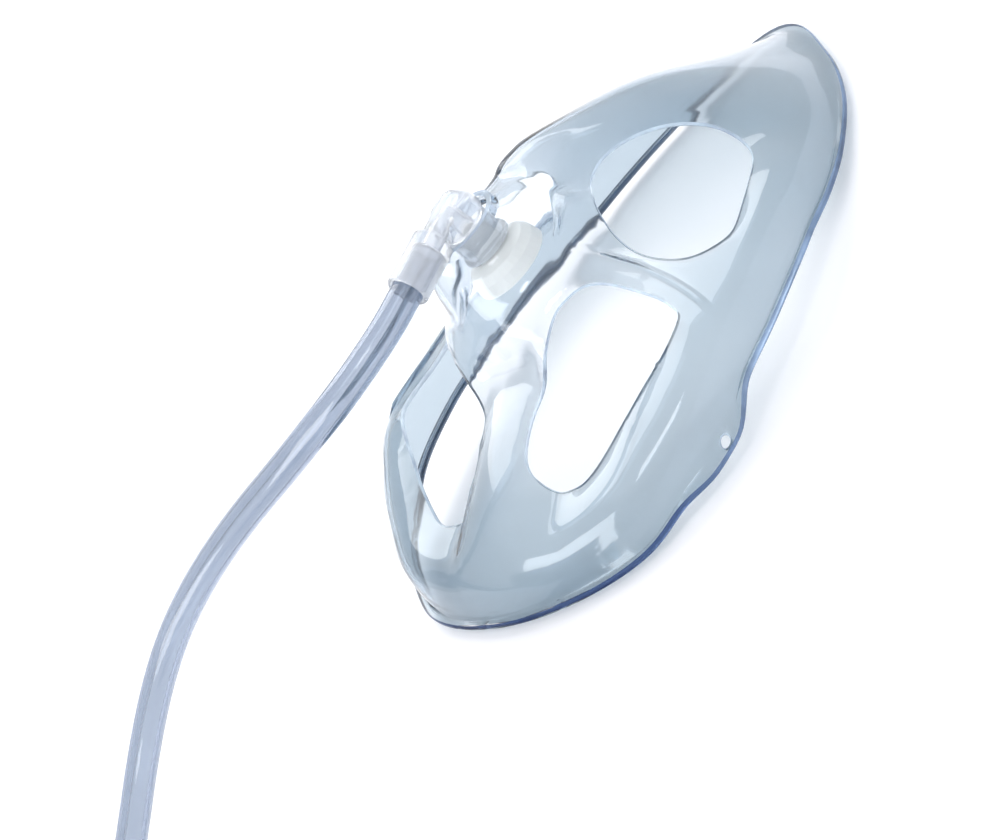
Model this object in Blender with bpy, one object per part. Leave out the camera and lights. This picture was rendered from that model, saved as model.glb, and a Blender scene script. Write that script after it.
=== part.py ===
"""Open-design oxygen face mask with a swivel elbow, a diffuser and its supply tubing.

The mask lies rim down on z = 0 with its nose to +Y. Sizes and places are in millimetres from the
hub axis, and an empty at the hub axis carries everything, so that the world's origin is under the
middle of the mask.
"""
import math
import bmesh
import bpy
from mathutils import Matrix, Vector
from mathutils.geometry import delaunay_2d_cdt

MM = 0.001

# The shell
NOSE_REACH = 85.0
CHIN_REACH = 60.5
CHEEK_REACH = 52.2
CHEEK_LIFT = 6.2
SHELL_HEIGHT = 46.5
COLLAR_RADIUS = 6.5
COLLAR_DEPTH = 2.7
DOME_RADIUS = 14.2
WALL = 1.3
FLANGE = 2.2
STRAP_TAB_FLARE = 1.6
STRAP_TAB_ANGLE = -35.5
STRAP_TAB_DROP = 0.6
STRAP_HOLE_RADIUS = 1.4
ARM_RIB_HEIGHT = 0.9
ARM_RIB_WIDTH = 2.4
MESH_STEP = 3.4

# The elbow, diffuser and tube
CLEAR = 0.3
ELBOW_WALL = 1.3
BARREL_RADIUS = 5.6
SPIGOT_LENGTH = 7.0
SNAP_LIP = 0.6
SOCKET_AXIS_RISE = 3.4
SOCKET_LENGTH = 18.7
TUBE_GRIP = 9.0
TUBE_RADIUS = 3.2
GAS_BORE_RADIUS = 1.5
PASSAGE_RADIUS = 2.9
SOCKET_WALL = 0.7
SWIVEL_TURN = 6.0
NECK_LENGTH = 5.8
CUP_RADIUS = 8.4
CUP_DROP = 5.6
CUP_WALL = 1.0
PIN_RADIUS = 1.3
PIN_HEAD_RADIUS = 3.2
PIN_LENGTH = 8.0

# The coiled length and the connector on the far end
COIL_INNER_TURN = 33.0
COIL_PITCH = 6.6
COIL_LAYERS = 5
TIE_THICKNESS = 1.0
TIE_WIDTH = 8.0
CONNECTOR_LENGTH = 38.0
CONNECTOR_RADIUS = 4.8
CONNECTOR_GRIP = 12.0
TAIL_LENGTH = 28.0

SEGMENTS = 32

# Each section of the shell, from the chin at -90 degrees round the near cheek to the nose at 90:
# angle, rim distance, rim lift as a share of the cheek's, then five steps from dome to side wall,
# each a share of the way out to the rim and a share of the shell's height.
SECTIONS = (
    (-90, 60.5, 0.0, ((0.04, 0.66), (0.10, 0.48), (0.36, 0.43), (0.66, 0.35), (0.90, 0.19))),
    (-79, 60.8, 0.0, ((0.05, 0.66), (0.10, 0.49), (0.36, 0.42), (0.65, 0.32), (0.89, 0.19))),
    (-71, 61.4, 0.0, ((0.06, 0.66), (0.11, 0.50), (0.36, 0.39), (0.65, 0.24), (0.88, 0.20))),
    (-58, 62.3, 0.03, ((0.08, 0.65), (0.17, 0.53), (0.38, 0.39), (0.66, 0.26), (0.90, 0.22))),
    (-44, 59.9, 0.40, ((0.10, 0.66), (0.20, 0.54), (0.37, 0.42), (0.60, 0.33), (0.91, 0.26))),
    (-30, 56.8, 0.80, ((0.11, 0.67), (0.22, 0.56), (0.42, 0.46), (0.69, 0.37), (0.95, 0.30))),
    (-16, 54.2, 1.0, ((0.10, 0.69), (0.20, 0.59), (0.49, 0.48), (0.81, 0.41), (0.98, 0.34))),
    (0, 52.2, 0.95, ((0.06, 0.73), (0.18, 0.60), (0.50, 0.49), (0.82, 0.40), (0.98, 0.33))),
    (15, 51.6, 0.74, ((0.06, 0.76), (0.18, 0.63), (0.46, 0.49), (0.80, 0.37), (0.97, 0.28))),
    (30, 54.4, 0.45, ((0.06, 0.78), (0.18, 0.66), (0.43, 0.50), (0.76, 0.34), (0.94, 0.22))),
    (45, 58.8, 0.16, ((0.05, 0.77), (0.16, 0.70), (0.39, 0.55), (0.69, 0.33), (0.90, 0.18))),
    (60, 66.3, 0.03, ((0.05, 0.82), (0.14, 0.77), (0.35, 0.63), (0.63, 0.40), (0.86, 0.18))),
    (75, 75.2, 0.0, ((0.04, 0.88), (0.12, 0.84), (0.31, 0.71), (0.57, 0.48), (0.82, 0.20))),
    (90, 85.0, 0.0, ((0.03, 0.93), (0.11, 0.90), (0.28, 0.76), (0.53, 0.53), (0.74, 0.25))),
)

# Window outlines, each corner an angle and a share of the way out from the dome to the rim
UPPER_WINDOW = (
    (33, 0.15), (10, 0.23), (-1, 0.45), (-1, 0.70), (6, 0.84), (19, 0.82),
    (35, 0.77), (47, 0.70), (56, 0.60), (61, 0.46), (60, 0.30), (50, 0.17),
)
LOWER_WINDOW = (
    (-32, 0.15), (-16, 0.22), (-14, 0.45), (-16, 0.68), (-20, 0.78), (-37, 0.68),
    (-58, 0.68), (-67, 0.67), (-75, 0.61), (-78.5, 0.50), (-75, 0.31), (-65, 0.20), (-50, 0.15),
)
STRAP_HOLE_ANGLE = -34.0
STRAP_TAB_SPAN = 14.0

# The tube's route from the elbow's mouth to the coil, chosen by hand
TUBE_ROUTE = (
    (-1.95, -18.6, 51.2), (-3.3, -26.6, 51.1), (-7.4, -33.8, 50.4), (-13.6, -39.7, 49.1),
    (-21.7, -44.3, 47.2), (-31.5, -47.9, 44.6), (-46.6, -51.9, 40.4), (-58.6, -55.5, 36.6),
    (-68.9, -59.7, 32.8), (-77.6, -64.8, 28.8), (-84.2, -71.2, 24.6), (-88.7, -78.8, 20.3),
    (-91.4, -87.4, 16.1), (-92.4, -96.5, 12.4), (-92.2, -106.0, 9.4), (-91.2, -116.0, 7.2),
    (-89.6, -126.0, 5.6), (-88.4, -136.0, 4.8), (-88.0, -145.0, 4.6),
)


def between(xs, ys, x):
    """Value at x on a smooth curve through the points that never overshoots them."""
    if x <= xs[0]:
        return ys[0]
    if x >= xs[-1]:
        return ys[-1]
    k = 0
    while xs[k + 1] < x:
        k += 1
    slopes = []
    for j in (k, k + 1):
        if j == 0 or j == len(xs) - 1:
            slopes.append(0.0)
            continue
        before = (ys[j] - ys[j - 1]) / (xs[j] - xs[j - 1])
        after = (ys[j + 1] - ys[j]) / (xs[j + 1] - xs[j])
        turns = before * after <= 0
        slopes.append(0.0 if turns else 2 * before * after / (before + after))
    span = xs[k + 1] - xs[k]
    t = (x - xs[k]) / span
    rise = ys[k + 1] - ys[k]
    ease = t * t * (3 - 2 * t)
    lead = span * t * (1 - t) * ((1 - t) * slopes[0] - t * slopes[1])
    return ys[k] + rise * ease + lead


ANGLES = [row[0] for row in SECTIONS]


def rim_radius(angle):
    """Distance from the hub axis to the rim, stretched to the three reaches."""
    a = math.radians(angle)
    plain = between(ANGLES, [row[1] for row in SECTIONS], angle)
    across = CHEEK_REACH / SECTIONS[7][1]
    along = NOSE_REACH / SECTIONS[-1][1] if angle > 0 else CHIN_REACH / SECTIONS[0][1]
    return plain * math.hypot(across * math.cos(a), along * math.sin(a))


def rim_height(angle):
    return CHEEK_LIFT * between(ANGLES, [row[2] for row in SECTIONS], angle)


def strap_tab(angle):
    """How far the strap tab has grown out of the raised rim, from 0 to 1."""
    rise = 1.3 * (1 - abs(angle - STRAP_TAB_ANGLE) / STRAP_TAB_SPAN)
    rise = min(1.0, max(0.0, rise))
    return rise * rise * (3 - 2 * rise)


def section(angle):
    """Distances and heights of the shell's profile, from the collar's mouth to the rim's edge."""
    rim = rim_radius(angle)
    low = rim_height(angle)
    ridge = max(0.0, math.sin(math.radians(angle))) ** 2.2
    r = [COLLAR_RADIUS, COLLAR_RADIUS + 0.2, 0.82 * DOME_RADIUS, DOME_RADIUS]
    z = [SHELL_HEIGHT, SHELL_HEIGHT - COLLAR_DEPTH, 0.908 * SHELL_HEIGHT]
    z.append(SHELL_HEIGHT * (0.755 + 0.155 * ridge))
    for k in range(5):
        way = between(ANGLES, [row[3][k][0] for row in SECTIONS], angle)
        height = between(ANGLES, [row[3][k][1] for row in SECTIONS], angle)
        r.append(DOME_RADIUS + way * (rim - DOME_RADIUS))
        z.append(SHELL_HEIGHT * height)
    tab = strap_tab(angle)
    r.extend([rim - FLANGE, rim + STRAP_TAB_FLARE * tab])
    z.extend([low, low * (1 - STRAP_TAB_DROP * tab)])
    return r, z


STATIONS = list(range(11))


def rib_crest(way):
    """The angle of a side arm's crease at a share of the way from the dome to the rim."""
    return 2.6 - 19.0 * way


def arm_rib(angle, radius):
    """Height of the crease along each side arm, which fades at both ends."""
    rim = rim_radius(angle)
    way = (radius - DOME_RADIUS) / (rim - DOME_RADIUS)
    if way <= 0.1 or way >= 0.93:
        return 0.0
    off = radius * math.radians(angle - rib_crest(way)) / (ARM_RIB_WIDTH / 2)
    ends = min(1.0, (way - 0.1) / 0.12, (0.93 - way) / 0.06)
    return ARM_RIB_HEIGHT * ends * max(0.0, 1 - off * off) ** 2


def on_shell(angle, s):
    """Point of the shell's outer face, s running from 0 at the collar's mouth to 10 at the rim."""
    r, z = section(angle)
    radius = between(STATIONS, r, s)
    a = math.radians(angle)
    height = between(STATIONS, z, s) + WALL + arm_rib(angle, radius)
    return Vector((radius * math.cos(a), radius * math.sin(a), height))


def station_at(angle, radius):
    """The s at which the shell's profile passes the radius."""
    r = section(angle)[0]
    low, high = 0.0, 10.0
    for _ in range(30):
        middle = (low + high) / 2
        if between(STATIONS, r, middle) < radius:
            low = middle
        else:
            high = middle
    return low


def smooth_loop(corners, count):
    """A closed smooth curve through the corners, as evenly shared points."""
    n = len(corners)
    out = []
    for k in range(n):
        p = [Vector(corners[(k + j) % n]) for j in (-1, 0, 1, 2)]
        for j in range(count):
            t = j / count
            a = p[1] * 2
            b = (p[2] - p[0]) * t
            c = (p[0] * 2 - p[1] * 5 + p[2] * 4 - p[3]) * t * t
            d = (p[1] * 3 - p[0] - p[2] * 3 + p[3]) * t * t * t
            out.append((a + b + c + d) / 2)
    return out


PATTERN_MOUTH = 1.1


def flat_place(angle, s):
    """Where a point of the shell lies in the flat pattern that is triangulated."""
    a = math.radians(angle)
    return Vector((math.cos(a), math.sin(a))) * (s + PATTERN_MOUTH)


def window_loop(corners):
    """A window's outline as angle and station pairs."""
    places = []
    for angle, way in corners:
        radius = DOME_RADIUS + way * (rim_radius(angle) - DOME_RADIUS)
        a = math.radians(angle)
        places.append((radius * math.cos(a), radius * math.sin(a)))
    loop = []
    for p in smooth_loop(places, 3):
        angle = math.degrees(math.atan2(p.y, p.x))
        loop.append((angle, station_at(angle, p.length)))
    return loop


def strap_hole_loop():
    """The round hole in the middle of the strap tab, as angle and station pairs."""
    foot, edge = on_shell(STRAP_HOLE_ANGLE, 9), on_shell(STRAP_HOLE_ANGLE, 10)
    across = STRAP_HOLE_RADIUS / (edge - foot).length
    along = math.degrees(STRAP_HOLE_RADIUS / edge.xy.length)
    loop = []
    for k in range(12):
        t = 2 * math.pi * k / 12
        loop.append((STRAP_HOLE_ANGLE + along * math.cos(t), 9.47 + across * math.sin(t)))
    return loop


def rib_lines():
    """Lines along the foot and the crest of a side arm's crease, in the flat pattern."""
    lines = []
    for share in (-0.5, 0, 0.5):
        line = []
        for k in range(15):
            way = 0.1 + 0.83 * k / 14
            crest = rib_crest(way)
            radius = DOME_RADIUS + way * (rim_radius(crest) - DOME_RADIUS)
            angle = crest + math.degrees(share * ARM_RIB_WIDTH / radius)
            line.append(flat_place(angle, station_at(angle, radius)))
        lines.append(line)
    return lines


def inside(point, loop):
    """Whether a flat point lies within a closed outline."""
    hit = False
    for k in range(len(loop)):
        a, b = loop[k - 1], loop[k]
        if (a.y > point.y) != (b.y > point.y):
            if point.x < a.x + (point.y - a.y) * (b.x - a.x) / (b.y - a.y):
                hit = not hit
    return hit


def shell_pattern():
    """Half of the shell, x >= 0, as angle and station pairs joined into triangles."""
    flat, edges = [], []
    rows = [0, 0.5, 1, 1.4, 1.8, 2.2, 2.6, 3, 3.4, 3.8, 4.2, 4.6]
    while rows[-1] < 8.9:
        rows.append(rows[-1] + 0.5)
    rows[-1] = 9.0
    rows.extend([9.5, 10])
    loops = [window_loop(UPPER_WINDOW), window_loop(LOWER_WINDOW), strap_hole_loop()]
    outlines = [[flat_place(*p) for p in loop] for loop in loops]
    ribs = rib_lines()
    rings = []
    for s in rows:
        middle = between(STATIONS, section(0)[0], s)
        count = max(12, round(math.pi * middle / MESH_STEP))
        ring = []
        for k in range(count + 1):
            angle = -90 + 180 * k / count
            p = flat_place(angle, s)
            edge = k in (0, count) or s in (0, 10)
            near = any((p - q).length < 0.28 for line in outlines + ribs for q in line)
            if not edge and (near or any(inside(p, line) for line in outlines)):
                continue
            ring.append(len(flat))
            flat.append(p)
        rings.append(ring)
    for ring in (rings[0], rings[-1]):
        edges.extend(zip(ring, ring[1:]))
    for a, b in zip(rings, rings[1:]):
        edges.extend([(a[0], b[0]), (a[-1], b[-1])])
    for line in outlines:
        first = len(flat)
        flat.extend(line)
        edges.extend((first + k, first + (k + 1) % len(line)) for k in range(len(line)))
    for line in ribs:
        edges.extend((len(flat) + k, len(flat) + k + 1) for k in range(len(line) - 1))
        flat.extend(line)
    points, _, found = delaunay_2d_cdt(flat, edges, [], 0, 1e-7)[:3]
    places = []
    for p in points:
        seam = abs(p.x) < 1e-5
        angle = math.copysign(90, p.y) if seam else math.degrees(math.atan2(p.y, p.x))
        places.append((angle, p.length - PATTERN_MOUTH))
    faces = []
    for ids in found:
        middle = sum((points[v] for v in ids), Vector((0, 0))) / 3
        on_seam = all(abs(places[v][0]) == 90 for v in ids)
        in_mouth = all(places[v][1] < 1e-4 for v in ids)
        if on_seam or in_mouth or any(inside(middle, line) for line in outlines):
            continue
        faces.append(ids)
    return places, faces


def material(name, colour, roughness, transmission=0.0, metallic=0.0):
    made = bpy.data.materials.new(name)
    made.use_nodes = True
    shader = made.node_tree.nodes["Principled BSDF"]
    shader.inputs["Base Color"].default_value = (*colour, 1.0)
    shader.inputs["Roughness"].default_value = roughness
    shader.inputs["Metallic"].default_value = metallic
    shader.inputs["Transmission Weight"].default_value = transmission
    made.diffuse_color = (*colour, 1.0)
    return made


def add_object(name, bm, finish, parent=None):
    """Turns millimetres into metres and links the mesh as a named object."""
    bmesh.ops.recalc_face_normals(bm, faces=bm.faces)
    bmesh.ops.scale(bm, vec=Vector((MM, MM, MM)), verts=bm.verts)
    mesh = bpy.data.meshes.new(name)
    bm.to_mesh(mesh)
    bm.free()
    made = bpy.data.objects.new(name, mesh)
    bpy.context.scene.collection.objects.link(made)
    if finish:
        made.data.materials.append(finish)
    made.parent = parent
    return made


def turned(profile, steps=SEGMENTS):
    """A solid turned round Z from a closed outline of radius and height pairs."""
    bm = bmesh.new()
    ring = [bm.verts.new((r, 0, z)) for r, z in profile]
    edges = [bm.edges.new((ring[k - 1], ring[k])) for k in range(len(ring))]
    bmesh.ops.spin(
        bm, geom=ring + edges, cent=(0, 0, 0), axis=(0, 0, 1), angle=2 * math.pi,
        steps=steps, use_merge=True,
    )
    bmesh.ops.remove_doubles(bm, verts=bm.verts, dist=1e-5)
    bmesh.ops.dissolve_degenerate(bm, edges=bm.edges, dist=1e-5)
    return bm


def helper(name, bm, parent, height=0.0, turn=None):
    """A hidden solid that only shapes another one."""
    made = add_object(name, bm, None, parent)
    made.matrix_basis = Matrix.Translation((0, 0, height * MM)) @ (turn or Matrix())
    made.hide_render = True
    made.display_type = "WIRE"
    return made


def combine(target, other, operation):
    step = target.modifiers.new(other.name, "BOOLEAN")
    step.operation = operation
    step.solver = "EXACT"
    step.object = other


def build_shell(finish, hub):
    places, faces = shell_pattern()
    bm = bmesh.new()
    for side in (1, -1):
        verts = []
        for angle, s in places:
            p = on_shell(angle, s)
            seam = abs(angle) == 90
            verts.append(bm.verts.new((0 if seam else side * p.x, p.y, p.z)))
        for ids in faces:
            order = ids if side == 1 else ids[::-1]
            bm.faces.new([verts[v] for v in order])
    bmesh.ops.remove_doubles(bm, verts=bm.verts, dist=1e-4)
    shell = add_object("mask_shell", bm, finish, hub)
    thick = shell.modifiers.new("wall", "SOLIDIFY")
    thick.thickness = WALL * MM
    thick.offset = -1
    thick.use_even_offset = True
    return shell


COLLAR_TOP = SHELL_HEIGHT + WALL
SOCKET_AXIS = COLLAR_TOP + SOCKET_AXIS_RISE
SPIGOT_RADIUS = COLLAR_RADIUS - WALL - CLEAR
NECK_RADIUS = SPIGOT_RADIUS - ELBOW_WALL - CLEAR
NECK_TOP = COLLAR_TOP - 1.3
CUP_TOP = COLLAR_TOP - SPIGOT_LENGTH - CLEAR
LYING = Matrix.Rotation(math.radians(90), 4, "X")


def build_elbow(finish, pivot):
    """The spigot and barrel are turned, and the tube's socket is joined on across the top."""
    bottom = COLLAR_TOP - SPIGOT_LENGTH
    lip = SPIGOT_RADIUS + SNAP_LIP
    rest = COLLAR_TOP + CLEAR
    top = SOCKET_AXIS + PASSAGE_RADIUS
    outline = [
        (0, bottom), (SPIGOT_RADIUS, bottom), (lip, bottom + 0.5), (lip, bottom + 0.9),
        (SPIGOT_RADIUS, bottom + 1.3), (SPIGOT_RADIUS, rest), (BARREL_RADIUS, rest),
        (BARREL_RADIUS, SOCKET_AXIS - 1.5), (0.9 * BARREL_RADIUS, SOCKET_AXIS + 0.4),
        (0.6 * BARREL_RADIUS, top - 0.9), (0, top - 0.3),
    ]
    elbow = add_object("swivel_elbow", turned(outline), finish, pivot)
    socket_radius = TUBE_RADIUS + CLEAR + SOCKET_WALL
    start = SOCKET_LENGTH - TUBE_GRIP - 2.6
    socket = [
        (0, -4.6), (0.55 * PASSAGE_RADIUS, -4.3), (0.88 * PASSAGE_RADIUS, -3.5), (PASSAGE_RADIUS, -2.4),
        (PASSAGE_RADIUS, start - 1.0), (socket_radius, start), (socket_radius, SOCKET_LENGTH - 0.4),
        (socket_radius - 0.4, SOCKET_LENGTH), (0, SOCKET_LENGTH),
    ]
    turn = Matrix.Rotation(math.radians(-SWIVEL_TURN), 4, "Z") @ LYING
    across = helper("elbow_socket_helper", turned(socket), pivot, SOCKET_AXIS, turn)
    tube_bore = TUBE_RADIUS + CLEAR
    floor = SOCKET_LENGTH - TUBE_GRIP - CLEAR
    drilled = [
        (0, -0.5), (GAS_BORE_RADIUS, -0.5), (GAS_BORE_RADIUS, floor), (tube_bore, floor),
        (tube_bore, SOCKET_LENGTH + 5), (0, SOCKET_LENGTH + 5),
    ]
    along = helper("elbow_tube_bore_helper", turned(drilled), pivot, SOCKET_AXIS, turn)
    neck_bore = NECK_RADIUS + CLEAR
    neck_end = NECK_TOP + CLEAR
    cross = SOCKET_AXIS + 0.37 * GAS_BORE_RADIUS
    upright = [
        (0, bottom - 5), (neck_bore, bottom - 5), (neck_bore, neck_end),
        (GAS_BORE_RADIUS, neck_end), (GAS_BORE_RADIUS, cross), (0, cross),
    ]
    up = helper("elbow_neck_bore_helper", turned(upright), pivot)
    combine(elbow, across, "UNION")
    combine(elbow, along, "DIFFERENCE")
    combine(elbow, up, "DIFFERENCE")
    return elbow


def build_cup(finish, pivot):
    """A bell-shaped diffuser cup whose hollow neck sits in the elbow's spigot."""
    bore = PIN_RADIUS + CLEAR + 0.1
    rim = CUP_TOP - CUP_DROP
    inner = CUP_RADIUS - CUP_WALL
    outline = [
        (bore, NECK_TOP), (NECK_RADIUS, NECK_TOP), (NECK_RADIUS, CUP_TOP), (0.55 * CUP_RADIUS, CUP_TOP - 0.3),
        (0.82 * CUP_RADIUS, CUP_TOP - 0.24 * CUP_DROP), (0.95 * CUP_RADIUS, CUP_TOP - 0.54 * CUP_DROP),
        (CUP_RADIUS, rim), (inner, rim), (0.93 * inner, CUP_TOP - 0.64 * CUP_DROP),
        (0.76 * inner, CUP_TOP - 0.42 * CUP_DROP), (0.50 * inner, CUP_TOP - 1.4), (bore, CUP_TOP - 1.3),
    ]
    return add_object("diffuser_cup", turned(outline), finish, pivot)


def build_pin(finish, pivot):
    """The mushroom-shaped pin that spreads the jet, its stem up inside the cup's neck."""
    top = NECK_TOP - 1.0
    head = top - PIN_LENGTH
    outline = [
        (0, top), (PIN_RADIUS - 0.3, top), (PIN_RADIUS, top - 0.4), (PIN_RADIUS, head + 1.4),
        (PIN_HEAD_RADIUS, head + 0.9), (PIN_HEAD_RADIUS, head), (0.7 * PIN_HEAD_RADIUS, head - 0.7),
        (0, head - 1.0),
    ]
    return add_object("diffuser_pin", turned(outline), finish, pivot)


def tube_curve(name, points, finish, pivot):
    """A round solid along a route, as a bevelled curve with closed ends."""
    curve = bpy.data.curves.new(name, "CURVE")
    curve.dimensions = "3D"
    curve.bevel_depth = TUBE_RADIUS * MM
    curve.bevel_resolution = 2
    curve.use_fill_caps = True
    line = curve.splines.new("POLY")
    line.points.add(len(points) - 1)
    for spot, p in zip(line.points, points):
        spot.co = (*(Vector(p) * MM), 1)
    made = bpy.data.objects.new(name, curve)
    bpy.context.scene.collection.objects.link(made)
    curve.materials.append(finish)
    made.parent = pivot
    return made


def build_tube(finish, pivot):
    """The stretch from inside the elbow's socket to the coil."""
    turn = math.radians(SWIVEL_TURN)
    back = SOCKET_LENGTH - TUBE_GRIP
    start = (-back * math.sin(turn), -back * math.cos(turn), SOCKET_AXIS)
    return tube_curve("oxygen_tube", [start, *TUBE_ROUTE], finish, pivot)


COIL_OUTER_TURN = COIL_INNER_TURN + COIL_PITCH
RING_INNER = COIL_INNER_TURN - TUBE_RADIUS - 0.2
RING_OUTER = COIL_OUTER_TURN + TUBE_RADIUS + 0.2
RING_BOTTOM = TIE_THICKNESS + CLEAR
RING_TOP = RING_BOTTOM + TUBE_RADIUS * 2 + COIL_PITCH * COIL_LAYERS
ARRIVAL = math.sqrt((RING_OUTER + CLEAR) ** 2 - (COIL_INNER_TURN - TUBE_RADIUS) ** 2)
COIL_CENTRE = (TUBE_ROUTE[-1][0] + COIL_INNER_TURN, TUBE_ROUTE[-1][1] - ARRIVAL, 0)


def build_coil(finish, pivot):
    outline = [
        (RING_INNER, RING_BOTTOM), (RING_OUTER, RING_BOTTOM), (RING_OUTER, RING_TOP), (RING_INNER, RING_TOP),
    ]
    coil = add_object("tube_coil", turned(outline, 40), finish, pivot)
    coil.location = Vector(COIL_CENTRE) * MM
    return coil


def build_tie(finish, pivot):
    """A flat band that goes once round the coil's turns."""
    bm = bmesh.new()
    bow = RING_INNER - math.sqrt(RING_INNER ** 2 - (TIE_WIDTH / 2) ** 2)
    low = (RING_INNER - bow - CLEAR - TIE_THICKNESS, 0)
    high = (RING_OUTER + CLEAR + TIE_THICKNESS, RING_TOP + CLEAR + TIE_THICKNESS)
    step = TIE_THICKNESS
    outer = [(low[0], low[1]), (high[0], low[1]), (high[0], high[1]), (low[0], high[1])]
    hole = [
        (low[0] + step, low[1] + step), (high[0] - step, low[1] + step),
        (high[0] - step, high[1] - step), (low[0] + step, high[1] - step),
    ]
    rings = []
    for y in (-TIE_WIDTH / 2, TIE_WIDTH / 2):
        rings.append([bm.verts.new((x, y, z)) for x, z in outer])
        rings.append([bm.verts.new((x, y, z)) for x, z in hole])
    for k in range(4):
        n = (k + 1) % 4
        for a, b in ((0, 2), (1, 3), (0, 1), (2, 3)):
            bm.faces.new((rings[a][k], rings[a][n], rings[b][n], rings[b][k]))
    tie = add_object("coil_tie", bm, finish, pivot)
    tie.location = Vector(COIL_CENTRE) * MM
    return tie


def tail_line():
    """The tail leaves the outer turn at the coil's foot, along +X."""
    y = COIL_CENTRE[1] - COIL_OUTER_TURN
    leave = math.sqrt((RING_OUTER + CLEAR) ** 2 - (COIL_OUTER_TURN - TUBE_RADIUS) ** 2)
    start = COIL_CENTRE[0] + leave
    end = COIL_CENTRE[0] + TAIL_LENGTH + CONNECTOR_GRIP
    return (start, y, CONNECTOR_RADIUS), (end, y, CONNECTOR_RADIUS)


def build_tail(finish, pivot):
    start, end = tail_line()
    return tube_curve("tube_tail", [start, end], finish, pivot)


def build_connector(finish, pivot):
    """The soft funnel that pushes on to a flowmeter's nipple."""
    grip = TUBE_RADIUS + CLEAR
    length = CONNECTOR_LENGTH
    wide = CONNECTOR_RADIUS
    outline = [
        (grip, 0), (wide - 0.3, 0), (wide - 0.3, CONNECTOR_GRIP + 2), (0.82 * wide, CONNECTOR_GRIP + 4),
        (0.82 * wide, 0.58 * length), (wide, 0.78 * length), (wide, length),
        (0.82 * wide, length), (0.52 * wide, 0.62 * length), (0.52 * wide, CONNECTOR_GRIP + CLEAR),
        (grip, CONNECTOR_GRIP + CLEAR),
    ]
    connector = add_object("tube_connector", turned(outline), finish, pivot)
    end = tail_line()[1]
    place = Vector((end[0] - CONNECTOR_GRIP, end[1], end[2])) * MM
    connector.matrix_basis = Matrix.Translation(place) @ Matrix.Rotation(math.radians(90), 4, "Y")
    return connector


def main():
    for old in list(bpy.data.objects):
        bpy.data.objects.remove(old, do_unlink=True)
    clear_blue = material("clear_blue_vinyl", (0.62, 0.72, 0.80), 0.12, 0.85)
    clear = material("clear_elbow_plastic", (0.80, 0.84, 0.92), 0.10, 0.85)
    cream = material("cream_diffuser_plastic", (0.80, 0.81, 0.78), 0.40)
    tubing = material("clear_tubing_vinyl", (0.74, 0.81, 0.90), 0.15, 0.8)
    soft = material("connector_vinyl", (0.70, 0.80, 0.88), 0.25, 0.5)
    band = material("tie_polythene", (0.86, 0.87, 0.88), 0.45)
    hub = bpy.data.objects.new("hub_axis", None)
    pivot = bpy.data.objects.new("swivel_pivot", None)
    for empty in (hub, pivot):
        bpy.context.scene.collection.objects.link(empty)
    hub.location.y = -(NOSE_REACH - CHIN_REACH) / 2 * MM
    pivot.parent = hub
    build_shell(clear_blue, hub)
    build_elbow(clear, pivot)
    build_cup(cream, pivot)
    build_pin(cream, pivot)
    build_tube(tubing, pivot)
    build_coil(tubing, pivot)
    build_tail(tubing, pivot)
    build_tie(band, pivot)
    build_connector(soft, pivot)


main()
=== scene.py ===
"""Looks of the open-design oxygen face mask: camera, light, floor and the finish of every piece."""
import math
from functools import lru_cache

import bmesh
import bpy
import numpy as np
from mathutils import Matrix, Vector
from mathutils.geometry import delaunay_2d_cdt


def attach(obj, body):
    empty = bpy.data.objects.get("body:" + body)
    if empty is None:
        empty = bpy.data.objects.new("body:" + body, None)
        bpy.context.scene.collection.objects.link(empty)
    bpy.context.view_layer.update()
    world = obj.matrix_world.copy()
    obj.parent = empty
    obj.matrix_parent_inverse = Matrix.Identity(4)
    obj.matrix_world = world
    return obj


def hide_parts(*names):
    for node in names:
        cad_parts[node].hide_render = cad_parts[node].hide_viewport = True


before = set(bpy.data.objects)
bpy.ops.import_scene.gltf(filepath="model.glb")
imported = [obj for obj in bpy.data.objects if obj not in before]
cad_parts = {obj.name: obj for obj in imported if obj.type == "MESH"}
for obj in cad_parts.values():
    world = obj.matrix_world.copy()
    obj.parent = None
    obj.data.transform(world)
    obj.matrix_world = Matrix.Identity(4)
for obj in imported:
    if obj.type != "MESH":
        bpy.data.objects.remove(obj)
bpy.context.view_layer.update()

MM = 0.001
HUB = Vector((0, -12.25, 0))

# The shell's driving sizes, in millimetres as in the CAD
NOSE_REACH = 85.0
CHIN_REACH = 60.5
CHEEK_REACH = 52.2
CHEEK_LIFT = 6.2
SHELL_HEIGHT = 46.5
COLLAR_RADIUS = 6.5
COLLAR_DEPTH = 2.7
DOME_RADIUS = 14.2
WALL = 1.3
FLANGE = 2.2
STRAP_TAB_FLARE = 1.6
STRAP_TAB_ANGLE = -35.5
STRAP_TAB_DROP = 0.6
STRAP_HOLE_RADIUS = 1.4
STRAP_HOLE_ANGLE = -34.0
STRAP_TAB_SPAN = 14.0
ARM_RIB_HEIGHT = 0.9
ARM_RIB_WIDTH = 2.4
ARM_RIB_START = 0.1
ARM_RIB_END = 0.93
MESH_STEP = 1.3
LIP = 0.25

# The wall at the windows, drawn thinner than the CAD's for a finer cut edge
CUT_WALL = 0.9

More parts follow.
